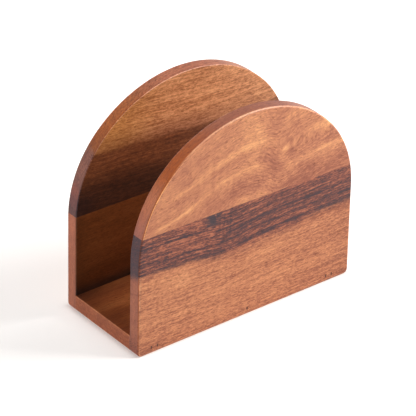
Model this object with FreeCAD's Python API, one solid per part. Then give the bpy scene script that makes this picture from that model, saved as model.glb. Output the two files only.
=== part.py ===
import FreeCAD, Part
import math
import os

# Arched wooden napkin holder.
#
# Two upright panels with arched tops hold a stack of folded napkins between them.  Each
# panel is edge-glued from two boards, a lower and an upper one, so a seam runs across it.
# A base board sits between the panels, flush with their ends and their feet.  It is glued to
# them and held by thin brads, driven through each panel into the base's long edge.  The brads
# are set below the surface and their pockets are filled with putty.  The holder is eased
# after the glue-up, so the rounded edge runs round the whole outside in one pass and the
# pieces stay square where they meet.
#
# The top of a panel is a three-centred arch: two side arcs that rise from the straight ends
# and a flatter crown arc, which takes over smoothly at 45 degrees.
#
# Frame: +X along the panels, +Y from the front panel to the back one, +Z up.  The origin is
# the centre of the flat underside.  All lengths are in millimetres.

# Overall sizes
holder_length = 152.0
holder_depth = 67.0
side_height = 60.0        # straight part of a panel's end, up to where the arch springs
arch_height = 72.0        # rise of the arched top above the straight ends

# Boards
panel_thickness = 8.3
base_thickness = 11.0
edge_radius = 1.2         # easing of every exposed edge
foot_radius = 3.0         # rounding of the holder's two bottom corners, seen from the front

# Seams between the boards of each panel, at mid length, with the slope seen from the front
front_seam_height = 75.2
back_seam_height = 61.4
seam_tilt_deg = 1.0       # the left end of a seam is the higher one

# Brads: rectangular wire with a T-head, set below the panel's face
wire_width = 1.0
wire_height = 1.25
brad_length = 20.0
brad_head_height = 2.0
brad_head_thickness = 0.9
brad_point_length = 1.6
brad_point_width = 0.3
brad_set_depth = 1.0      # depth of putty over the head

# Places of the brads along the base: a pair near each end and one near the middle
brad_height = 3.9
brad_inset_left = 9.3
brad_inset_right = 12.5
brad_pair_pitch = 4.2
brad_middle_shift = 1.3

# Worked out from the sizes above
half_length = holder_length / 2
half_depth = holder_depth / 2
slot_half_width = half_depth - panel_thickness
outside = holder_length + holder_depth + side_height + arch_height   # past any cut's reach
tiny = edge_radius / 10   # less than any edge's length
FRONT, BACK = -1, 1

OUT = "parts"


def vec(x, y, z):
    return FreeCAD.Vector(x, y, z)


def block(x_range, y_range, z_range):
    """A box between two planes along each axis."""
    (x0, x1), (y0, y1), (z0, z1) = x_range, y_range, z_range
    return Part.makeBox(x1 - x0, y1 - y0, z1 - z0, vec(x0, y0, z0))


# ---------------------------------------------------------------- panels and base

def arc(centre, radius, start_deg, end_deg):
    """An arc in the XZ plane.  Angles turn from +X towards +Z."""
    def at(angle_deg):
        angle = math.radians(angle_deg)
        return centre + vec(radius * math.cos(angle), 0, radius * math.sin(angle))
    return Part.Arc(at(start_deg), at((start_deg + end_deg) / 2), at(end_deg)).toShape()


def arch(y):
    """The three arcs of the top, from the right end to the left one.  The side arcs' centres
    lie inside the ends by the offset, and the crown's centre lies below them by as much."""
    offset = (1 + 1 / math.sqrt(2)) * (half_length - arch_height)
    side_radius = half_length - offset
    crown_radius = arch_height + offset
    return [
        arc(vec(offset, y, side_height), side_radius, 0, 45),
        arc(vec(0, y, side_height - offset), crown_radius, 45, 135),
        arc(vec(-offset, y, side_height), side_radius, 135, 180),
    ]


def panel_blank(side):
    """A whole panel with square edges, standing at its place on the front or back."""
    outer_y = side * half_depth
    foot_left, foot_right = vec(-half_length, outer_y, 0), vec(half_length, outer_y, 0)
    spring_left = vec(-half_length, outer_y, side_height)
    spring_right = vec(half_length, outer_y, side_height)
    outline = Part.Wire(
        [Part.makeLine(foot_left, foot_right), Part.makeLine(foot_right, spring_right)]
        + arch(outer_y)
        + [Part.makeLine(spring_left, foot_left)])
    return Part.Face(outline).extrude(vec(0, -side * panel_thickness, 0))


def base_blank():
    return block((-half_length, half_length), (-slot_half_width, slot_half_width), (0, base_thickness))


def lies_level_at(edge, height):
    return edge.BoundBox.ZLength < tiny and abs(edge.BoundBox.ZMin - height) < tiny


def runs_across(edge):
    """True for an edge that runs from the front towards the back."""
    return edge.BoundBox.YLength > tiny


def is_foot_corner(edge):
    return runs_across(edge) and lies_level_at(edge, 0)


def is_exposed_edge(edge):
    """Of the edges that run across, only the two at the ends of the base's top are corners:
    the others are where smooth faces meet.  Of the rest, only the slot's two inside corners,
    level with the base's top, are left square."""
    return runs_across(edge) == lies_level_at(edge, base_thickness)


def eased_blank():
    """Both panels and the base in one piece, with every exposed edge rounded over."""
    whole = panel_blank(FRONT).fuse([panel_blank(BACK), base_blank()]).removeSplitter()
    feet = [edge for edge in whole.Edges if is_foot_corner(edge)]
    whole = whole.makeFillet(min(foot_radius, 0.45 * base_thickness), feet)
    corners = [edge for edge in whole.Edges if is_exposed_edge(edge)]
    return whole.makeFillet(min(edge_radius, 0.45 * panel_thickness), corners)


def below_seam(height):
    """Everything under a seam plane, which slopes down from the left end to the right one."""
    lower = block((-outside, outside), (-outside, outside), (height - outside, height))
    lower.rotate(vec(0, 0, height), vec(0, 1, 0), seam_tilt_deg)
    return lower


def panel_boards(blank, side, seam_height):
    """The lower and the upper board of one panel, cut from the eased blank."""
    near, far = sorted((side * slot_half_width, side * outside))
    panel = blank.common(block((-outside, outside), (near, far), (-outside, outside)))
    lower_space = below_seam(seam_height)
    return panel.common(lower_space), panel.cut(lower_space)


def base_board(blank):
    between = (-slot_half_width, slot_half_width)
    return blank.common(block((-outside, outside), between, (-outside, outside)))


# ---------------------------------------------------------------- brads and putty

def brad_places():
    """X of each brad, from the left end to the right one."""
    left, right = -half_length + brad_inset_left, half_length - brad_inset_right
    return [left, left + brad_pair_pitch, brad_middle_shift, right - brad_pair_pitch, right]


def brad(x, side):
    """One brad, lying along Y with its head under the panel's face and its point in the base."""
    head_y = half_depth - brad_set_depth
    neck_y = head_y - brad_head_thickness
    taper_y = head_y - brad_length + brad_point_length
    point_y = head_y - brad_length
    half_wide, half_high = wire_width / 2, wire_height / 2
    head = block(
        (x - half_wide, x + half_wide), (neck_y, head_y),
        (brad_height - brad_head_height / 2, brad_height + brad_head_height / 2))
    profile = Part.makePolygon([
        vec(x - half_wide, neck_y, 0), vec(x + half_wide, neck_y, 0),
        vec(x + half_wide, taper_y, 0), vec(x + brad_point_width / 2, point_y, 0),
        vec(x - brad_point_width / 2, point_y, 0), vec(x - half_wide, taper_y, 0),
        vec(x - half_wide, neck_y, 0)])
    wire = Part.Face(profile).extrude(vec(0, 0, wire_height))
    wire.translate(vec(0, 0, brad_height - half_high))
    whole = head.fuse(wire).removeSplitter()
    return whole if side == BACK else whole.mirror(vec(0, 0, 0), vec(0, 1, 0))


def putty_plug(x, side):
    """The filling over one brad's head, flush with the panel's face."""
    y_range = sorted((side * half_depth, side * (half_depth - brad_set_depth)))
    return block(
        (x - wire_width / 2, x + wire_width / 2), y_range,
        (brad_height - brad_head_height / 2, brad_height + brad_head_height / 2))


def row_of(make, side):
    """One of make's solids at each brad place, as a group of separate solids."""
    return Part.makeCompound([make(x, side) for x in brad_places()])


# ---------------------------------------------------------------- the assembly

def build():
    blank = eased_blank()
    parts = {"base_board": base_board(blank)}
    for name, side, seam_height in (("front", FRONT, front_seam_height), ("back", BACK, back_seam_height)):
        lower, upper = panel_boards(blank, side, seam_height)
        brads, putty = row_of(brad, side), row_of(putty_plug, side)
        parts[name + "_upper_board"] = upper
        parts[name + "_lower_board"] = lower.cut(brads.Solids + putty.Solids)
        parts[name + "_brads"] = brads
        parts[name + "_putty_plugs"] = putty
        parts["base_board"] = parts["base_board"].cut(brads.Solids)
    return parts


os.makedirs(OUT, exist_ok=True)
for node, shape in build().items():
    shape.exportStep(os.path.join(OUT, node + ".step"))
    print(node, len(shape.Solids), "solids", round(shape.Volume, 1), "mm3", shape.isValid())
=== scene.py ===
import math

import bmesh
import bpy
from mathutils import Matrix, Vector


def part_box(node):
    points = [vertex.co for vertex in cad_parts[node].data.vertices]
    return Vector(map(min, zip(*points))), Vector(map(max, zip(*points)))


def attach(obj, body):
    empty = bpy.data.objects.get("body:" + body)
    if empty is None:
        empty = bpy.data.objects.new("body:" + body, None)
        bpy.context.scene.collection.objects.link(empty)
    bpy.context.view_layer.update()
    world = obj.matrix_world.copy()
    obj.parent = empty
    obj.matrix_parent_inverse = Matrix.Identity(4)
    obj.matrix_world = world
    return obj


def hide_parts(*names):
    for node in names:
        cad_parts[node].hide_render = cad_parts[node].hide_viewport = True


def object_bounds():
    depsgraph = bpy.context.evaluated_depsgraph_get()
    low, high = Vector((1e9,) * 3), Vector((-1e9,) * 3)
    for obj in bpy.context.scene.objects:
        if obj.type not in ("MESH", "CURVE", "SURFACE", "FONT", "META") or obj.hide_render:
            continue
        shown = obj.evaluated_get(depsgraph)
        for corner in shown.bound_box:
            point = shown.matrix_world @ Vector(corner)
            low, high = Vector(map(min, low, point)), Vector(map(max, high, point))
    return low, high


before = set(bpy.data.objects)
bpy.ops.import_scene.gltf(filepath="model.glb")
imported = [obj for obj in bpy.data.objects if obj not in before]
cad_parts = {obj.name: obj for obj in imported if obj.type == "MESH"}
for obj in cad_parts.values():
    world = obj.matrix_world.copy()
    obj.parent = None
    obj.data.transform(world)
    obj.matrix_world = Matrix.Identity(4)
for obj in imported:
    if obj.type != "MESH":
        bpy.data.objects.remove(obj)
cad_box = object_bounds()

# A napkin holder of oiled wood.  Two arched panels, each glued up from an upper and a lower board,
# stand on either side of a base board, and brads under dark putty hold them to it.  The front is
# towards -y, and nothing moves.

MM = 0.001

# The holder's sizes, in metres, read from the frame
half_length, half_depth, holder_height = cad_box[1]
_, slot_half_width, base_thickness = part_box("base_board")[1]
panel_thickness = half_depth - slot_half_width

# Sizes that the frame's boxes don't tell
side_height = 60 * MM
edge_radius = 1.2 * MM
slot_edge_radius = 0.6 * MM   # hands and sandpaper reach the edges round the slot less
foot_radius = 3.0 * MM
front_seam_height = 75.2 * MM
back_seam_height = 61.4 * MM
seam_tilt = math.radians(1.0)
arch_height = holder_height - side_height
hair = 0.001 * MM          # a plane is set off by this much to leave a flat face whole

brad_places = [x * MM for x in (-66.7, -62.5, 1.3, 59.3, 63.5)]
brad_height = 3.9 * MM
brad_set_depth = 1.0 * MM
putty_width = 1.0 * MM
putty_height = 2.0 * MM
putty_sink = 0.12 * MM
putty_round = 0.15 * MM

# The studio
room_light = 0.12          # brightness of the white room as the wood meets it
floor_glow = 0.565         # what makes the floor white to the eye
contact_shade = 0.5        # a painted contact shadow: the share of that glow taken off where the holder meets the floor
contact_reach = 1.7 * MM   # how far from the holder it comes back
floor_half_width = 3.0     # metres, as are the next two
far_floor = (0.45, 1.0)    # how far from the holder the glow starts to grow, and is full
lamp_distance = 1.5

ARCH_STEPS = 48            # facets in a quarter turn of the arch
FOOT_STEPS = 7             # facets in a rounded foot corner
EDGE_STEPS = 5             # facets across a rounded edge
PUTTY_STEPS = 3            # facets across a plug's rounded edge
CURVE = math.radians(10)   # facets that meet at less than this are one curve
CREASE = math.radians(35)  # an edge sharper than this is shaded crisp


# ------------------------------------------------------------------ the boards

def spin(bm, vert, centre, angle, steps):
    """Turns a vertex about a centre in the XZ plane, leaving an arc.  Returns its last vertex."""
    made = bmesh.ops.spin(
        bm, geom=[vert], cent=centre, axis=(0, -1, 0), dvec=(0, 0, 0),
        angle=angle, steps=steps, use_duplicate=False)
    return next(item for item in made["geom_last"] if isinstance(item, bmesh.types.BMVert))


def pull(bm, vert, to):
    """Draws a straight edge from a vertex to a point.  Returns the vertex there."""
    made = bmesh.ops.extrude_vert_indiv(bm, verts=[vert])["verts"][0]
    made.co = to
    return made


def panel(bm, side):
    """Adds one square-edged panel.  side is -1 at the front, 1 at the back."""
    y = side * half_depth
    offset = (1 + 1 / math.sqrt(2)) * (half_length - arch_height)
    first = bm.verts.new((half_length, y, 0))
    vert = pull(bm, first, Vector((half_length, y, base_thickness)))
    vert = pull(bm, vert, Vector((half_length, y, side_height)))
    vert = spin(bm, vert, (offset, y, side_height), math.radians(45), ARCH_STEPS // 2)
    vert = spin(bm, vert, (0, y, side_height - offset), math.radians(90), ARCH_STEPS)
    vert = spin(bm, vert, (-offset, y, side_height), math.radians(45), ARCH_STEPS // 2)
    vert = pull(bm, vert, Vector((-half_length, y, base_thickness)))
    vert = pull(bm, vert, Vector((-half_length, y, 0)))
    bm.edges.new((vert, first))
    outline = [edge for edge in bm.edges if edge.is_wire]
    face = bmesh.ops.contextual_create(bm, geom=outline)["faces"][0]
    made = bmesh.ops.extrude_face_region(bm, geom=[face], use_keep_orig=True)["geom"]
    verts = [item for item in made if isinstance(item, bmesh.types.BMVert)]
    bmesh.ops.translate(bm, verts=verts, vec=(0, -side * panel_thickness, 0))


def join_base(bm):
    """Joins the two panels by the base: opens their inner faces below its top and bridges them."""
    for side in (-1, 1):
        ends = [
            vert for vert in bm.verts
            if abs(vert.co.y - side * slot_half_width) < hair
            and abs(vert.co.z - base_thickness) < hair]
        bmesh.ops.connect_verts(bm, verts=ends)
    strips = [
        face for face in bm.faces
        if abs(abs(face.calc_center_median().y) - slot_half_width) < hair
        and face.calc_center_median().z < base_thickness]
    rims = [edge for face in strips for edge in face.edges]
    bmesh.ops.delete(bm, geom=strips, context="FACES_ONLY")
    bmesh.ops.bridge_loops(bm, edges=rims)


def is_level(edge, height):
    return all(abs(vert.co.z - height) < hair for vert in edge.verts)


def runs_across(edge):
    return abs(edge.verts[0].co.y - edge.verts[1].co.y) > hair


def round_over(bm, edges, radius, steps):
    bmesh.ops.bevel(
        bm, geom=edges, offset=radius, offset_type="OFFSET", affect="EDGES", segments=steps,
        profile=0.5, clamp_overlap=False, material=-1)


def is_flat(edge):
    return edge.calc_face_angle(math.pi) < CURVE


def eased_blank():
    """Both panels and the base in one piece, with every exposed edge rounded over."""
    bm = bmesh.new()
    for side in (-1, 1):
        panel(bm, side)
    join_base(bm)
    bmesh.ops.recalc_face_normals(bm, faces=bm.faces)
    foot_corners = [
        edge for edge in bm.edges if runs_across(edge) and is_level(edge, 0) and not is_flat(edge)]
    round_over(bm, foot_corners, foot_radius, FOOT_STEPS)
    exposed = [
        edge for edge in bm.edges
        if not is_flat(edge) and edge.is_convex
        and runs_across(edge) == is_level(edge, base_thickness)]
    inner = [
        edge for edge in exposed
        if all(abs(vert.co.y) < slot_half_width + hair for vert in edge.verts)]
    outer = [edge for edge in exposed if edge not in inner]
    round_over(bm, outer, edge_radius, EDGE_STEPS)
    round_over(bm, inner, slot_edge_radius, EDGE_STEPS)
    return bm


def keep_side(bm, point, normal):
    """Cuts the blank by a plane, drops what lies beyond it and closes the cut."""
    everything = bm.verts[:] + bm.edges[:] + bm.faces[:]
    cut = bmesh.ops.bisect_plane(
        bm, geom=everything, dist=hair / 10, plane_co=point, plane_no=normal, clear_outer=True)
    rim = [item for item in cut["geom_cut"] if isinstance(item, bmesh.types.BMEdge)]
    bmesh.ops.holes_fill(bm, edges=[edge for edge in rim if edge.is_boundary], sides=0)


def piece_from(bm, name, *nodes):
    """Turns a bmesh into a shown piece that stands for the CAD nodes named."""
    bmesh.ops.recalc_face_normals(bm, faces=bm.faces)
    for face in bm.faces:
        face.smooth = True
    for edge in bm.edges:
        edge.smooth = edge.calc_face_angle(math.pi) < CREASE
    mesh = bpy.data.meshes.new(name)
    bm.to_mesh(mesh)
    bm.free()
    piece = bpy.data.objects.new(name, mesh)
    bpy.context.scene.collection.objects.link(piece)
    weighted = piece.modifiers.new("even_faces", "WEIGHTED_NORMAL")
    weighted.keep_sharp = True
    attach(piece, "root")
    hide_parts(*nodes)
    return piece


def board(blank, name, cuts, nailed_side=0):
    """Saws one board out of a copy of the blank.

    cuts are planes that face away from what is kept.  nailed_side is -1 or 1 where brads go in from
    the front or the back.
    """
    bm = blank.copy()
    for point, normal in cuts:
        keep_side(bm, point, normal)
    if nailed_side:
        cut_pockets(bm, nailed_side)
    return piece_from(bm, name, name.replace("oiled_", ""))


def cut_pockets(bm, side):
    """Sinks the brads' pockets into a board's outer face.  side is -1 at the front."""
    outer = side * half_depth

    def on_face(item):
        return all(abs(vert.co.y - outer) < hair for vert in item.verts)

    def slit(point, normal):
        face = [item for item in bm.faces if on_face(item)]
        parts = set(face) | {edge for item in face for edge in item.edges}
        parts |= {vert for item in face for vert in item.verts}
        bmesh.ops.bisect_plane(
            bm, geom=list(parts), dist=hair / 10, plane_co=point, plane_no=normal)

    for height in (-putty_height / 2, putty_height / 2):
        slit((0, outer, brad_height + height), (0, 0, 1))
    for x in brad_places:
        for shift in (-putty_width / 2, putty_width / 2):
            slit((x + shift, outer, 0), (1, 0, 0))
    pockets = [
        face for face in bm.faces
        if on_face(face) and abs(face.calc_center_median().z - brad_height) < hair
        and min(abs(face.calc_center_median().x - x) for x in brad_places) < hair]
    sunk = bmesh.ops.extrude_discrete_faces(bm, faces=pockets)["faces"]
    floor_verts = {vert for face in sunk for vert in face.verts}
    bmesh.ops.translate(bm, verts=list(floor_verts), vec=(0, -side * brad_set_depth, 0))


def putty_plugs(name, side):
    """The little fillings over the brads' heads, a shade below the face of the wood."""
    bm = bmesh.new()
    for x in brad_places:
        top = side * (half_depth - putty_sink)
        bottom = side * (half_depth - brad_set_depth)
        size = (putty_width - 2 * hair, abs(top - bottom) - hair, putty_height - 2 * hair)
        place = Matrix.Translation((x, (top + bottom) / 2, brad_height))
        shape = Matrix.Diagonal((*size, 1))
        made = bmesh.ops.create_cube(bm, size=1, matrix=place @ shape)["verts"]
        rim = {
            edge for vert in made for edge in vert.link_edges
            if all(abs(end.co.y - top) < 3 * hair for end in edge.verts)}
        round_over(bm, list(rim), putty_round, PUTTY_STEPS)
    return piece_from(bm, "sunk_" + name, name)


def seam(height, keep):
    """The seam's plane, facing away from what is kept: keep is 1 for above, -1 for below."""
    normal = Matrix.Rotation(seam_tilt, 3, "Y") @ Vector((0, 0, -keep))
    return (0, 0, height), normal


blank = eased_blank()
front_joint = (0, -slot_half_width + hair, 0)
back_joint = (0, slot_half_width - hair, 0)
frontward, backward = (0, -1, 0), (0, 1, 0)
front_glue, back_glue = (front_joint, backward), (back_joint, frontward)
front_upper = board(blank, "oiled_front_upper_board", [front_glue, seam(front_seam_height, 1)])
front_lower = board(blank, "oiled_front_lower_board", [front_glue, seam(front_seam_height, -1)], -1)
back_upper = board(blank, "oiled_back_upper_board", [back_glue, seam(back_seam_height, 1)])
back_lower = board(blank, "oiled_back_lower_board", [back_glue, seam(back_seam_height, -1)], 1)
base = board(blank, "oiled_base_board", [(front_joint, frontward), (back_joint, backward)])
blank.free()
front_plugs = putty_plugs("front_putty_plugs", -1)
back_plugs = putty_plugs("back_putty_plugs", 1)


# ------------------------------------------------------------------ material nodes, written as sums

SEED_STEPS = (7.31, 3.17, 5.93)      # how far one seed moves the noise from the next, in lumps
PATH_LENGTH, PATH_HEIGHT = 160, 100  # millimetres that a drawn line may span, centred on 0


class Signal:
    """A node's output that can be reckoned with like a number while the nodes are laid."""

    def __init__(self, socket):
        self.socket = socket
        self.tree = socket.id_data

    def node(self, kind, *inputs, output=0, **settings):
        return lay(self.tree, kind, *inputs, output=output, **settings)

    def math(self, operation, *others, clamp=False):
        return self.node("Math", self, *others, operation=operation, use_clamp=clamp)

    def __add__(self, other):
        return self.math("ADD", other)

    def __sub__(self, other):
        return self.math("SUBTRACT", other)

    def __rsub__(self, other):
        return self.math("MULTIPLY_ADD", -1.0, other)

    def __mul__(self, other):
        return self.math("MULTIPLY", other)

    def __truediv__(self, other):
        return self.math("DIVIDE", other)

    def __abs__(self):
        return self.math("ABSOLUTE")

    __radd__ = __add__
    __rmul__ = __mul__


def lay(tree, kind, *inputs, output=0, **settings):
    """Adds a shader node, sets it, feeds its inputs in order (None leaves one alone)."""
    node = tree.nodes.new("ShaderNode" + kind)
    for name, value in settings.items():
        setattr(node, name, value)
    for entry, value in zip(node.inputs, inputs):
        feed(entry, value)
    return Signal(node.outputs[output])


def feed(entry, value):
    if isinstance(value, Signal):
        value.tree.links.new(value.socket, entry)
    elif value is not None:
        entry.default_value = value


def rise(value, low, high):
    """0 at low, 1 at high and beyond, smooth between.  It falls instead where high is the lower."""
    return value.node("MapRange", value, low, high, 0.0, 1.0, interpolation_type="SMOOTHSTEP")


def bell(value, centre, reach):
    """1 at the centre, 0 from reach away on either side."""
    return rise(abs(value - centre), reach, 0.0)


def window(value, low, high, soft):
    """1 between low and high, fading over soft on both sides."""
    return rise(value, low - soft, low + soft) * rise(value, high + soft, high - soft)


def noise(point, size, seed, detail=2.0, rough=0.5):
    """Smooth noise about 0, mostly within 0.5, of lumps that are size millimetres in x, y and z."""
    shift = tuple(seed * step for step in SEED_STEPS)
    placed = point.node("Mapping", point, shift, None, tuple(1 / length for length in size))
    node = placed.node("TexNoise", placed, None, 1.0, detail, rough)
    return (node - 0.5) * 1.6


def mix(tree, mode, factor, first, second):
    """Mixes two colours, each a tuple or a signal that carries one.

    The node's entries 0, 6 and 7 are the factor and the colours, and 2 is the colour it gives.
    """
    node = tree.nodes.new("ShaderNodeMix")
    node.data_type = "RGBA"
    node.blend_type = mode
    for entry, value in ((0, factor), (6, first), (7, second)):
        feed(node.inputs[entry], (*value, 1.0) if isinstance(value, tuple) else value)
    return Signal(node.outputs[2])


def blend(factor, first, second):
    """The first colour where factor is 0, the second where it is 1."""
    return mix(factor.tree, "MIX", factor, first, second)


def tint(colour, by):
    """A colour multiplied by another."""
    return mix(colour.tree, "MULTIPLY", 1.0, colour, by)


def split(vector):
    """A vector's x, y and z."""
    parts = vector.node("SeparateXYZ", vector).socket.node
    return [Signal(part) for part in parts.outputs]


def tones(value, *stops):
    """A run of colours: each stop is a place from 0 to 1 and a colour."""
    node = value.tree.nodes.new("ShaderNodeValToRGB")
    feed(node.inputs[0], value)
    ends = node.color_ramp.elements
    for _ in stops[2:]:
        ends.new(0.5)
    for end, (place, colour) in zip(ends, stops):
        end.position = place
        end.color = (*colour, 1.0)
    return Signal(node.outputs[0])


def path(x, *points):
    """The height of a drawn line over x, smooth through its points; all in millimetres."""
    node = x.tree.nodes.new("ShaderNodeFloatCurve")
    curve = node.mapping.curves[0]
    for _ in points[2:]:
        curve.points.new(0.5, 0.5)
    for knot, (along, height) in zip(curve.points, points):
        knot.location = (along / PATH_LENGTH + 0.5, height / PATH_HEIGHT + 0.5)
    node.mapping.update()
    feed(node.inputs[1], x / PATH_LENGTH + 0.5)
    return (Signal(node.outputs[0]) - 0.5) * PATH_HEIGHT


# ------------------------------------------------------------------ the wood

# Where a panel lies, in millimetres from the holder's middle
OUTER_FACE = 33.5
INNER_FACE = 25.2
PANEL_MIDDLE, PANEL_HALF = 29.3, 4.2  # the middle of its thickness, and half of that thickness

EARLY_TURN = 0.24                     # how much sooner the rim's colour starts where the wear and painted highlight lie on the face
RIGHT_FLANK_SHEEN = (0.60, 0.47, 0.44)      # tints of the rim: of its slopes that face right, a painted sheen,
VESSELS = (0.30, 0.22, 0.20)          # of open vessels,
PLAIN = (1.0, 1.0, 1.0)               # and where it keeps the face's colour


def wear_highlight_line(turn):
    """1 where turn is a half and an arris shows its wear and painted highlight most.
    turn is 0 on the rim, 1 on the face.
    """
    return rise(turn * (1 - turn) * 4, 0.35, 0.85)


def relief(height, strength, depth):
    """Fine roughness of the surface, depth millimetres deep."""
    bump = height.tree.nodes.new("ShaderNodeBump")
    bump.inputs["Strength"].default_value = strength
    bump.inputs["Distance"].default_value = depth * MM
    feed(bump.inputs["Height"], height)
    return Signal(bump.outputs[0])


class Timber:
    """One piece's material.  x, y and z are millimetres; ring follows the board's growth lines.

    facing is the surface's direction.  across is 1 on the two faces and 0 on the rim, sawn is 1 on
    end grain, and sideways goes from -1 to 1 round the rim, from its left to its right.
    """

    def __init__(self, name, seed, thickness_axis=1):
        self.material = bpy.data.materials.new(name)
        self.material.use_nodes = True
        self.tree = self.material.node_tree
        self.shader = self.tree.nodes["Principled BSDF"]
        self.seed = seed
        self.turned_early = 0.0
        place = lay(self.tree, "TexCoord", output="Object")
        self.point = place.node("VectorMath", place, operation="SCALE")
        self.point.socket.node.inputs["Scale"].default_value = 1 / MM
        self.x, self.y, self.z = split(self.point)
        self.facing = split(lay(self.tree, "TexCoord", output="Normal"))
        self.across = self.facing[thickness_axis] * self.facing[thickness_axis]
        self.arris = wear_highlight_line(self.across)
        self.sawn = rise(abs(self.facing[0]), 0.5, 0.9)
        self.sideways = self.facing[0] / ((1 - self.across).math("SQRT") + 0.02)

    def move_wear_highlight(self, where):
        """Moves the line of wear and painted highlight towards the face where it says 1, to the rim
        where it says 0.
        """
        squared = self.across * self.across
        near_face = wear_highlight_line(squared * squared)
        near_rim = wear_highlight_line(self.across.math("SQRT"))
        self.arris = near_rim + (near_face - near_rim) * where
        self.turned_early = where

    def dim_inner_wear_highlight(self):
        """The arris towards the slot is hardly handled and faces away from the light: it gets
        little of the wear and painted highlight.
        """
        self.arris = self.arris * (1 - rise(self.facing[1], -0.2, 0.2) * 0.85)

    def lay_grain(self, lift, face=0.0, lean=0.3, drift=1.6):
        """Lays the growth lines and the figure that follows them.

        lift is how far the lines stand above the level where y is face.  Behind it they drop by
        lean for each millimetre.  drift is how far they wander.
        """
        wander = noise(self.point, (60, 30, 20), self.seed + 1) * (2 * drift)
        ripple = noise(self.point, (12, 12, 7), self.seed + 2) * (0.5 * drift)
        self.ring = self.z - lift + (self.y - face) * lean + wander + ripple
        self.grain = lay(self.tree, "CombineXYZ", self.x, self.y, self.ring)
        self.bands = noise(self.grain, (110, 16, 7), self.seed + 3)
        self.lines = noise(self.grain, (30, 2.0, 1.2), self.seed + 4, 3.0, 0.6)
        self.flecks = noise(self.grain, (5.6, 1.3, 0.8), self.seed + 10, 2.0, 0.6)
        self.fibres = noise(self.grain, (2.0, 1.0, 0.75), self.seed + 5, 2.0, 0.7)
        self.clouds = noise(self.point, (16, 16, 10), self.seed + 6)
        curl = noise(self.grain, (2.6, 9, 11), self.seed + 7, 1.0)
        self.curl = curl * rise(self.clouds, -0.15, 0.25)
        pores = noise(self.grain, (2.4, 0.9, 0.7), self.seed + 8, 1.0)
        self.pores = rise(pores, 0.16, 0.40)

    def texture(self, bands, lines, flecks, fibres, clouds, curl):
        """The figure's lightness about 0, from a share of each kind.  It is calmer on end grain."""
        grain = (
            self.bands * bands + self.lines * lines + self.flecks * flecks + self.fibres * fibres
            + self.clouds * clouds + self.curl * curl)
        return grain * (1 - self.sawn * 0.6)

    def rim_tint(self, side, shoulder, flank, top):
        """What the rim's colour is multiplied by: top on the level, flank on its slopes, shoulder
        where they steepen and side on end grain."""
        outward = abs(self.facing[0])
        # Slopes that face right, towards the key light, take a pinker, less orange tint than the
        # left ones: painted sheen.
        rightward = rise(self.facing[0], -0.2, 0.2)
        rim = blend(rise(outward, 0.15, 0.60), top, blend(rightward, flank, RIGHT_FLANK_SHEEN))
        rim = blend(rise(outward, 0.68, 0.84), rim, shoulder)
        rim = blend(rise(outward, 0.90, 0.98), rim, side)
        vessels = rise(noise(self.point, (8, 0.6, 3.2), self.seed + 9, 2.0), -0.2, 0.35)
        rim = blend(vessels * 0.36, rim, VESSELS)
        layers = noise(self.point, (16, 1.7, 16), self.seed + 11, 1.0)
        rim = blend(layers * self.sawn * 0.7, rim, tint(rim, (0.5, 0.45, 0.5)))
        hollow = bell(abs(self.y), PANEL_MIDDLE, PANEL_HALF)
        return tint(rim, 1 - self.sawn * (0.07 - hollow * 0.17))

    def finish(self, colour, side, wear_highlight, shoulder=(0.82, 0.64, 0.52), flank=(0.78, 0.43, 0.11),
               top=(0.60, 0.47, 0.47), wear_highlight_tint=(1.45, 1.70, 2.0), wear_highlight_top=(1.55, 2.1, 2.6),
               wear_highlight_left=(1.90, 2.25, 1.75), roughness=0.42):
        """Adds pores, the darker rim where the grain runs out, arrises lightened by wear and a
        painted highlight, and the oiled sheen.

        wear_highlight says how strongly the arrises show that wear and painted highlight;
        wear_highlight_tint, wear_highlight_top and wear_highlight_left multiply the colour there.
        """
        colour = blend(self.pores * 0.6, colour, tint(colour, (0.45, 0.33, 0.29)))
        rim = self.rim_tint(side, shoulder, flank, top)
        # The arris line: wear with a painted highlight, its tint changing round the rim.
        wear_highlight_tint = blend(bell(self.sideways, -0.08, 0.35), wear_highlight_tint, wear_highlight_top)
        wear_highlight_tint = blend(rise(self.sideways, -0.5, -0.8), wear_highlight_tint, wear_highlight_left)
        wear_highlight_colour = tint(colour, wear_highlight_tint)
        off_face = rise(abs(self.facing[1]) - self.turned_early * EARLY_TURN, 0.75, 0.35)
        colour = blend(off_face, colour, tint(colour, rim))
        colour = blend(self.arris * wear_highlight, colour, wear_highlight_colour)
        gloss = (
            roughness + self.bands * 0.05 + self.fibres * 0.10 + self.pores * 0.10
            - self.arris * 0.06)
        grooves = self.fibres * 0.35 + self.flecks * 0.2 - self.pores * 0.6
        self.shader.inputs["IOR"].default_value = 1.5
        self.shader.inputs["Specular IOR Level"].default_value = 0.3
        return self.coat(colour, gloss, relief(grooves, 0.25, 0.12))

    def coat(self, colour, roughness, normal):
        feed(self.shader.inputs["Base Color"], colour)
        feed(self.shader.inputs["Roughness"], roughness)
        feed(self.shader.inputs["Normal"], normal)
        return self.material


def streak(height, centre, above, below):
    """A streak that is brightest at the centre and fades over its own reach above and below."""
    return rise(height, centre + above, centre) * rise(height, centre - below, centre)


# In the boards below every window, bell and rise is a patch or a streak at its place in
# millimetres, and the number after it is how much lighter or darker it is.

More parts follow.
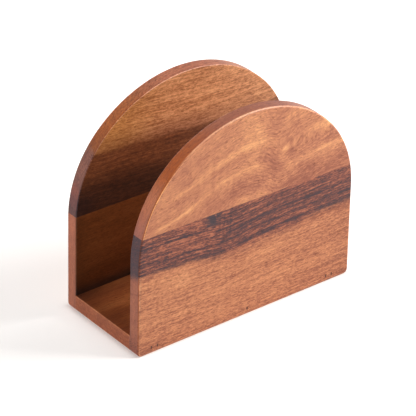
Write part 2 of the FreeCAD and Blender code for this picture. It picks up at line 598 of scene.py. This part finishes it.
def front_upper_wood():
    """Golden orange, its lines rising to the right with lighter streaks and one small swirl."""
    wood = Timber("oiled_wood_front_upper", 1)
    wood.move_wear_highlight(rise(wood.sideways, -0.40, -0.72))
    wood.dim_inner_wear_highlight()
    x, z = wood.x, wood.z
    lift = path(
        x, (-80, -2.5), (-65, 0), (-50, 3), (-33, 10), (-20, 14.5), (-8, 17.2), (2, 17.5),
        (12, 15.5), (22, 11), (32, 12.5), (47, 14.5), (62, 16), (80, 15))
    high = rise(z, 96, 110)
    lift = lift + high * path(
        x, (-80, 0), (-10, 0), (10, 1.5), (22, 4.5), (38, 6.5), (60, 6), (80, 4))
    wood.lay_grain(lift, -OUTER_FACE, drift=1.1)
    ring = wood.ring
    broken = 0.70 + noise(wood.grain, (16, 7, 4), 31, 3.0) * 1.6
    golden = (
        streak(ring, 78.8, 1.6, 2.6) * rise(x, -76, -60) * rise(x, 16, 2)
        + streak(ring, 92.5, 5, 3.0) * window(x, -50, 16, 10) * 0.6
        + streak(ring, 77.0, 3.2, 3.0) * rise(x, 18, 34) * (1 - rise(x, 40, 52) * 0.5)
        + bell(ring, 86.7, 3.6) * window(x, 37, 58, 5) * 0.8
        + streak(z, 76.5, 3.2, 3.0) * window(x, -8, 12, 5) * 1.3
        + bell(x, 0, 24) * bell(z, 122, 11) * 0.5) * broken
    golden = (
        golden
        + bell(ring, 77.0, 5.0) * rise(x, 28, 38) * 0.45
        + bell(x, 0, 16) * window(z, 105, 124, 4) * 0.36
        + window(x, 20, 30, 4) * (window(z, 111, 122, 3) + window(z, 80, 88, 3)) * 0.45)
    leaning = x + (z - 88) * 0.8
    shade = (
        bell(leaning, 21, 10) * window(z, 79, 99, 4) * 0.8
        + rise(x, 28, 44) * window(z, 70, 86, 2.5) * 0.85
        + bell(x, 30.5, 4) * bell(z, 97, 5) * 1.0
        + bell(x, 36.5, 2.0) * bell(z, 105, 2.2) * 1.2
        + bell(x, 24, 17) * bell(z, 117, 9) * 0.7
        + bell(x, -50, 2.5) * bell(z, 92, 2.5) * 0.7
        + rise(x + (z - 80) * 0.5, -57, -69) * 0.5
        + window(x, 33, 64, 5) * window(z, 96, 104, 3) * 0.55
        + window(x, -14, 12, 5) * window(z, 83, 92, 3) * 0.35
        + window(x, -30, -8, 6) * window(z, 76, 86, 3) * 0.3
        + window(x, 12, 30, 5) * window(z, 74, 80, 2) * 0.4
        + bell(x, -25, 16) * bell(z, 77, 4) * 0.6
        + bell(x, 34, 30) * bell(z, 76, 4.5) * 0.5)
    pale = bell(x, 25.5, 4.0) * bell(z, 101, 2.6)
    feather = noise(wood.grain, (5, 2, 0.8), 33, 2.0, 0.6) * rise(x, -30, 0)
    ripples = noise(wood.point, (3.6, 30, 22), 34, 1.0)
    ripples = ripples * window(x, -52, -12, 8) * window(z, 84, 116, 6)
    calm = 0.72 + rise(x, -30, 0) * 0.28
    figure = wood.texture(bands=0.34, lines=0.26, flecks=0.32, fibres=0.62, clouds=0.34, curl=0.22)
    tone = (
        0.47 + figure * calm + feather * 0.2 + ripples * 0.20
        + golden * 0.38 - shade * 0.30 + pale * 0.35)
    colour = tones(
        tone, (0.10, (0.34, 0.108, 0.062)), (0.32, (0.50, 0.180, 0.096)),
        (0.50, (0.61, 0.238, 0.120)), (0.72, (0.76, 0.325, 0.150)), (0.96, (0.92, 0.445, 0.200)))
    # Wear and painted highlight on the arris, weaker where the rim runs down the left end.
    wear_highlight = 0.9 - rise(wood.sideways, -0.87, -0.96) * 0.40
    return wood.finish(colour, side=(0.63, 0.54, 0.67), wear_highlight=wear_highlight)


def front_lower_wood():
    """Reddish orange brown under a dark heartwood streak, with a knot against the seam."""
    wood = Timber("oiled_wood_front_lower", 2)
    wood.move_wear_highlight(rise(wood.sideways, -0.40, -0.72))
    wood.dim_inner_wear_highlight()
    x, z = wood.x, wood.z
    lift = path(
        x, (-80, 2.6), (-58, 1.6), (-33, -0.6), (-18, -2.6), (-8, -2.6), (5, -1.2), (20, -0.4),
        (45, -0.4), (62, 0.0), (80, 0.2))
    wood.lay_grain(lift * rise(z, 20, 60), -OUTER_FACE, drift=0.5)
    ring = wood.ring
    fray = (
        noise(wood.grain, (7, 2.5, 1.2), 41, 3.0, 0.7) * 3.2
        + noise(wood.grain, (30, 10, 30), 42) * 1.5)
    middle = window(x, -30, 40, 8)
    dark = rise(ring + fray, 47.0 - middle * 4.2, 52.4 - middle * 1.0)
    broken = 0.8 + noise(wood.grain, (12, 4, 3), 43, 3.0) * 2.0
    streaks = (
        bell(ring, 68.0, 1.2) * rise(x, -16, -34)
        + bell(ring, 63.2, 1.9) * rise(x, -20, 5)
        + bell(ring, 57.6, 2.0)
        + bell(ring, 51.6, 2.8)) * broken * (1 - wood.sawn * 0.8) * 0.40
    knot_far = (
        (x + 24.8) * (x + 24.8) / 34 + (z - 75.5) * (z - 75.5) / 80).math("SQRT")
    crack = bell(x + (z - 72) * 0.3, -22.4, 0.9)
    knot = rise(knot_far + wood.flecks * 0.8, 1.25, 0.45) * (1 - crack * 0.6)
    glow = bell(x, -25.5, 3.6) * bell(z, 63.5, 3.6) + bell(x, -27, 2.6) * bell(z, 67.5, 2)
    dusk = window(x, -20, 2, 6) * window(z, 54, 76, 5)
    ripples = noise(wood.point, (1.7, 20, 24), 44, 1.0)
    ripples = ripples * window(x, -21, -8, 3) * window(z, 54, 72, 4)
    figure = wood.texture(bands=0.35, lines=1.35, flecks=0.9, fibres=1.2, clouds=0, curl=0)
    figure = figure * (0.92 - rise(x, -20, 20) * 0.14)
    tone = (
        0.50 + figure - streaks + glow * 0.45 - dusk * 0.12
        + rise(x, -26, -40) * 0.07 + ripples * 0.35
        - rise(x, -70, -75) * 0.22
        + rise(x, -10, 0) * rise(z, 68.5, 71) * 0.09
        + window(x, -62, -24, 6) * bell(z, 55.0, 2.5) * 0.11
        - window(x, -60, -4, 8) * bell(z, 61.5, 3.5) * 0.11
        - rise(x, 12, 26) * bell(z, 59.5, 2.5) * 0.08)
    inner = tones(
        tone, (0.06, (0.058, 0.029, 0.036)), (0.28, (0.112, 0.042, 0.039)),
        (0.50, (0.200, 0.063, 0.045)), (0.72, (0.335, 0.103, 0.062)), (0.96, (0.50, 0.170, 0.092)))
    inner = blend(knot * 0.9, inner, (0.040, 0.031, 0.042))
    figure = wood.texture(bands=0.34, lines=0.72, flecks=0.60, fibres=0.95, clouds=0.17, curl=0.08)
    body = (
        0.475 + figure
        + window(x, -68, -40, 8) * bell(z, 41, 8) * 0.20
        + bell(ring, 19.5, 2.4) * 0.12
        - window(x, -80, -58, 6) * window(z, 2, 13, 4) * rise(wood.lines, 0, 0.3) * 0.5
        - bell(ring, 40.0, 0.9) * rise(x, -50, -66) * 0.25
        - rise(z, 46, 50) * 0.06 - rise(x, 0, 70) * 0.07
        + bell(x, -42, 22) * bell(z, 38, 8) * 0.12
        - rise(z, 13, 2) * 0.11 - bell(z, 22, 6) * 0.05
        - bell(x, -6, 30) * bell(z, 44, 5) * 0.10
        - rise(x, -20, -10) * bell(z, 48, 3.5) * 0.24
        - rise(x, 58, 70) * 0.05
        - rise(x, -64, -72) * rise(z, 14, 6) * 0.12)
    outer = tones(
        body, (0.06, (0.32, 0.100, 0.052)), (0.28, (0.465, 0.163, 0.081)),
        (0.50, (0.59, 0.225, 0.108)), (0.74, (0.68, 0.278, 0.130)), (1.00, (0.82, 0.370, 0.172)))
    heart_end = blend(dark, (0.56, 0.45, 0.48), (0.365, 0.36, 0.56))
    # Wear and painted highlight on the arris: it changes with height and is gone across the dark
    # streak.
    wear_highlight = (rise(z, 27, 34) * 0.6 + 0.22 + rise(z, 8, 3) * 0.55) * (1 - dark * 0.97)
    return wood.finish(
        blend(dark, outer, inner), side=heart_end, wear_highlight=wear_highlight, wear_highlight_left=(1.75, 2.25, 2.60))


def back_upper_wood():
    """Golden and finely lined above, with a brown band, dark at its lower edge.  That dark is
    partly a streak in the wood and partly painted shade in the slot.
    """
    wood = Timber("oiled_wood_back_upper", 3)
    wood.move_wear_highlight(rise(wood.sideways, 0.42, 0.20))
    x, z = wood.x, wood.z
    lift = path(x, (-80, 3.0), (-58, 2), (-12, -1.4), (14, -3.8), (80, -4.4))
    wood.lay_grain(lift, INNER_FACE, lean=-0.25, drift=0.8)
    ring = wood.ring
    fray = noise(wood.grain, (14, 4, 2), 51, 3.0, 0.6)
    # Dark below: partly a streak in the wood, partly painted shade low in the slot.
    low = rise(ring + fray * 4, 88, 70)
    figure = wood.texture(bands=0.40, lines=0.85, flecks=0.65, fibres=1.1, clouds=0.18, curl=0.1)
    tone = 0.5 + figure * (1 - low * 0.45)
    dull = (
        bell(x, -2, 10) * bell(z, 107.5, 3) * 0.30
        + window(x, -22, 18, 6) * bell(z, 97.5, 4) * 0.17
        + window(x, 2, 30, 6) * rise(z, 120, 125) * 0.14
        + bell(x, 8, 10) * bell(z, 116, 2.2) * 0.14
        - window(x, -10, 24, 6) * bell(z, 111.6, 2.2) * 0.09
        - window(x, -10, 15, 6) * bell(z, 120, 2.2) * 0.08)
    golden = tones(
        tone - dull, (0.06, (0.39, 0.136, 0.052)), (0.28, (0.54, 0.212, 0.086)),
        (0.50, (0.66, 0.280, 0.120)), (0.74, (0.78, 0.350, 0.156)), (1.00, (0.88, 0.430, 0.200)))
    yellow = rise(x + noise(wood.point, (20, 20, 14), 52) * 10, -8, -50)
    golden = blend(yellow * 0.9, golden, tint(golden, (0.80, 0.75, 0.48)))
    dusky = rise(ring + fray * 3, 113, 97) * (0.97 - rise(x, 8, 45) * 0.55)
    golden = blend(dusky, golden, tint(golden, (0.60, 0.55, 0.60)))
    brown = tones(
        tone, (0.00, (0.088, 0.026, 0.010)), (0.50, (0.178, 0.053, 0.019)),
        (1.00, (0.30, 0.096, 0.036)))
    # The near-black colours of that dark part, streak and painted shade together.
    deep = tones(
        tone, (0.08, (0.020, 0.009, 0.007)), (0.50, (0.060, 0.0208, 0.0105)),
        (0.94, (0.13, 0.044, 0.022)))
    band = rise(ring + fray * 3, 98.8, 94.8)
    colour = blend(band, golden, brown)
    colour = blend(low, colour, deep)
    corner = rise(x, -58, -72) * rise(ring, 74, 68)
    colour = blend(corner * 0.7, colour, tint(colour, (0.5, 0.6, 0.95)))
    side = blend(band, (0.74, 0.50, 0.46), (1.60, 1.60, 2.9))
    side = blend(rise(ring, 80, 72), side, (3.6, 2.65, 3.3))
    side = blend(rise(ring, 66, 62.5), side, (2.6, 2.1, 2.7))
    shoulder = blend(band, (0.90, 0.61, 0.34), (1.30, 1.50, 2.7))
    # Wear and painted highlight on the arris, weaker towards the right.
    wear_highlight = 0.60 - rise(wood.sideways, 0.10, 0.40) * 0.50
    return wood.finish(
        colour, side, wear_highlight, shoulder, flank=(0.84, 0.52, 0.28), top=(0.70, 0.49, 0.52),
        wear_highlight_tint=(1.85, 2.75, 6.0), wear_highlight_top=(1.75, 2.50, 4.6), wear_highlight_left=(1.45, 2.0, 4.6))


def back_lower_wood():
    """A plain warm brown, with painted shade: much darker on the face towards the slot."""
    wood = Timber("oiled_wood_back_lower", 4)
    wood.lay_grain(path(wood.x, (-80, -1), (0, 1), (80, 0)), INNER_FACE, lean=-0.25)
    tone = 0.5 + wood.texture(bands=0.4, lines=0.35, flecks=0.4, fibres=0.7, clouds=0.14, curl=0.1)
    outer = tones(
        tone, (0.08, (0.32, 0.100, 0.044)), (0.30, (0.44, 0.148, 0.064)),
        (0.50, (0.53, 0.190, 0.082)), (0.72, (0.65, 0.250, 0.106)), (0.96, (0.78, 0.330, 0.145)))
    # Colours for the face towards the slot, much darker: painted shade of the slot.
    inner = tones(
        tone, (0.08, (0.120, 0.031, 0.007)), (0.50, (0.195, 0.056, 0.014)),
        (0.94, (0.28, 0.090, 0.025)))
    # More painted shade low in the slot: darker towards the bottom, darkest and bluer next to the
    # base; then darker towards the left end.
    inner = blend(rise(wood.z, 40, 12) * 0.55, inner, tint(inner, (0.38, 0.40, 0.52)))
    inner = blend(rise(wood.z, 19, 11.5), inner, tint(inner, (0.38, 0.55, 1.2)))
    inner = blend(rise(wood.x, -64, -75) * 0.5, inner, tint(inner, (0.6, 0.6, 0.6)))
    # slot_shade is 1 on the face towards the slot, where the painted shade goes.
    slot_shade = rise(wood.facing[1], -0.12, -0.50)
    side = blend(bell(wood.z, 56, 10), (0.66, 0.53, 0.57), (0.78, 0.62, 0.65))
    return wood.finish(blend(slot_shade, outer, inner), side=side, wear_highlight=0.0)


def base_wood():
    """Brown with darker streaks along it, and painted shade on its top in the slot."""
    wood = Timber("oiled_wood_base", 5, thickness_axis=2)
    wood.lay_grain(wood.y * -0.8, lean=0.0)
    shown = 1 - wood.sawn
    figure = wood.texture(bands=0.55, lines=0.15, flecks=0.10, fibres=0.25, clouds=0.2, curl=0.05)
    tone = (
        0.50 + figure
        # Along the top: lighter down the middle, and darker towards the front as painted shade.
        + bell(wood.y, 4, 10) * shown * 0.15
        - window(wood.y, -25, -6, 3) * shown * 0.05
        + noise(wood.point, (20, 2.2, 1.2), 51, 2.0, 0.6) * wood.sawn * 0.55)
    colour = tones(
        tone, (0.08, (0.20, 0.048, 0.014)), (0.30, (0.35, 0.092, 0.026)),
        (0.50, (0.50, 0.145, 0.040)), (0.72, (0.64, 0.205, 0.060)), (0.96, (0.76, 0.270, 0.084)))
    # Painted shade on the top in the slot: darker towards the left end, and much darker along the
    # back panel.
    colour = blend(
        rise(wood.x, -55, -76) * shown, colour, tint(colour, (0.58, 0.50, 0.47)))
    back_shade = rise(wood.y, 11, 24) * (0.62 + rise(wood.x, -46, -72) * 0.38)
    colour = blend(back_shade * shown, colour, tint(colour, (0.36, 0.31, 0.27)))
    # The base's arris line: wear with a painted highlight.
    wear_highlight_tint = (1.4, 1.9, 3.0)
    return wood.finish(
        colour, side=(0.70, 0.64, 0.87), wear_highlight=0.5, shoulder=PLAIN, flank=PLAIN, top=PLAIN,
        wear_highlight_tint=wear_highlight_tint, wear_highlight_top=wear_highlight_tint, wear_highlight_left=wear_highlight_tint, roughness=0.55)


def putty():
    """Dry dark filler, slightly crumbly."""
    filler = Timber("dark_wood_putty", 6)
    grit = noise(filler.point, (0.35, 0.35, 0.35), 61, 2.0, 0.6)
    patchy = noise(filler.point, (9, 9, 9), 62)
    colour = tones(
        0.5 + grit * 0.6 + patchy * 0.9, (0.1, (0.050, 0.022, 0.016)),
        (0.5, (0.12, 0.050, 0.034)), (0.9, (0.22, 0.085, 0.055)))
    return filler.coat(colour, 0.75 + grit * 0.2, relief(grit, 0.4, 0.1))


def brad_wire():
    """Drawn steel, faintly scored along its length."""
    steel = Timber("drawn_brad_steel", 7)
    scores = noise(steel.point, (0.12, 6, 0.12), 71, 2.0)
    stain = noise(steel.point, (1.2, 2.5, 1.2), 72)
    steel.shader.inputs["Metallic"].default_value = 1.0
    colour = tones(
        0.5 + stain + scores * 0.3, (0.2, (0.36, 0.35, 0.34)), (0.8, (0.62, 0.61, 0.60)))
    return steel.coat(colour, 0.38 + scores * 0.25 + stain * 0.1, relief(scores, 0.3, 0.04))


def dress(piece, material):
    piece.data.materials.append(material)


dress(front_upper, front_upper_wood())
dress(front_lower, front_lower_wood())
dress(back_upper, back_upper_wood())
dress(back_lower, back_lower_wood())
dress(base, base_wood())
filler = putty()
dress(front_plugs, filler)
dress(back_plugs, filler)
wire = brad_wire()
for name in ("front_brads", "back_brads"):
    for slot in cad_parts[name].material_slots:
        slot.material = wire


# ------------------------------------------------------------------ floor, light and camera

def plane_floor():
    """A plain floor that is white to the eye, and still takes the holder's shadow.  Close round
    the holder a painted contact shadow darkens it.
    """
    bm = bmesh.new()
    bmesh.ops.create_grid(bm, x_segments=1, y_segments=1, size=floor_half_width)
    mesh = bpy.data.meshes.new("floor")
    bm.to_mesh(mesh)
    bm.free()
    floor = bpy.data.objects.new("floor", mesh)
    bpy.context.scene.collection.objects.link(floor)
    mat = bpy.data.materials.new("pale_floor")
    mat.use_nodes = True
    tree = mat.node_tree
    shader = tree.nodes["Principled BSDF"]
    shader.inputs["Base Color"].default_value = (0.80, 0.78, 0.76, 1)
    shader.inputs["Roughness"].default_value = 0.9
    shader.inputs["Specular IOR Level"].default_value = 0.0
    shader.inputs["Emission Color"].default_value = (1.0, 0.97, 0.95, 1)
    x, y, _ = split(lay(tree, "TexCoord", output="Object"))
    beside = (abs(x) - half_length).math("MAXIMUM", 0.0)
    before = (abs(y) - half_depth).math("MAXIMUM", 0.0)
    apart = (beside * beside + before * before).math("SQRT")
    # Painted contact shadow: the glow fades close round the holder.
    contact = (-1 * apart / contact_reach).math("EXPONENT")
    glow = floor_glow + rise(apart, *far_floor) * (1 - floor_glow)
    shown = seen_directly(tree) * (1 - contact * contact_shade) * glow
    feed(shader.inputs["Emission Strength"], shown)
    floor.data.materials.append(mat)


def seen_directly(tree):
    """1 for the eye, for mirrors and for glass; 0 for the light that falls on other things."""
    rays = tree.nodes.new("ShaderNodeLightPath")
    kinds = ("Is Camera Ray", "Is Glossy Ray", "Is Transmission Ray")
    seen, mirrored, through = (Signal(rays.outputs[kind]) for kind in kinds)
    return (seen + mirrored).math("ADD", through, clamp=True)


def direction(azimuth, elevation):
    """The way from the holder to where it is seen from.  Azimuth 0 is in front, 90 to the right."""
    az, el = math.radians(azimuth), math.radians(elevation)
    return Vector((math.sin(az) * math.cos(el), -math.cos(az) * math.cos(el), math.sin(el)))


def lamp(name, azimuth, elevation, size, power, colour=(1.0, 1.0, 1.0)):
    """A square softbox that looks at the holder's middle."""
    away = direction(azimuth, elevation)
    light = bpy.data.lights.new(name, "AREA")
    light.shape = "SQUARE"
    light.size = size
    light.energy = power
    light.color = colour
    softbox = bpy.data.objects.new(name, light)
    softbox.location = away * lamp_distance + Vector((0, 0, holder_height / 2))
    softbox.rotation_mode = "QUATERNION"
    softbox.rotation_quaternion = away.to_track_quat("Z", "Y")
    bpy.context.scene.collection.objects.link(softbox)


def camera():
    """A long lens from the front left, a little above, with a slight roll."""
    distance = 1893.0 * MM
    aim = Vector((-3.00, -1.23, 56.14)) * MM
    back = direction(azimuth=-38.683, elevation=31.329)
    roll = math.radians(1.382)
    level = Vector((0, 0, 1)).cross(back).normalized()
    up = back.cross(level)
    right = math.cos(roll) * level + math.sin(roll) * up
    above = back.cross(right)
    cam = bpy.data.cameras.new("camera")
    cam.sensor_width = 36
    cam.lens = 289.8
    cam.clip_start = 0.1
    cam.clip_end = 20
    eye = bpy.data.objects.new("camera", cam)
    turn = Matrix((right, above, back)).transposed().to_4x4()
    eye.matrix_world = Matrix.Translation(aim + back * distance) @ turn
    bpy.context.scene.collection.objects.link(eye)
    bpy.context.scene.camera = eye


plane_floor()
camera()
lamp("key_softbox", azimuth=58, elevation=34, size=0.75, power=28, colour=(1.0, 0.99, 0.97))
lamp("left_softbox", azimuth=-99, elevation=12, size=1.0, power=15.5)
lamp("back_softbox", azimuth=175, elevation=12, size=1.0, power=11)
world = bpy.data.worlds.new("studio")
world.use_nodes = True
sky = world.node_tree.nodes["Background"]
sky.inputs["Color"].default_value = (1, 1, 1, 1)
feed(sky.inputs["Strength"], seen_directly(world.node_tree) * (1 - room_light) + room_light)
bpy.context.scene.world = world
bpy.context.scene.view_settings.view_transform = "Standard"
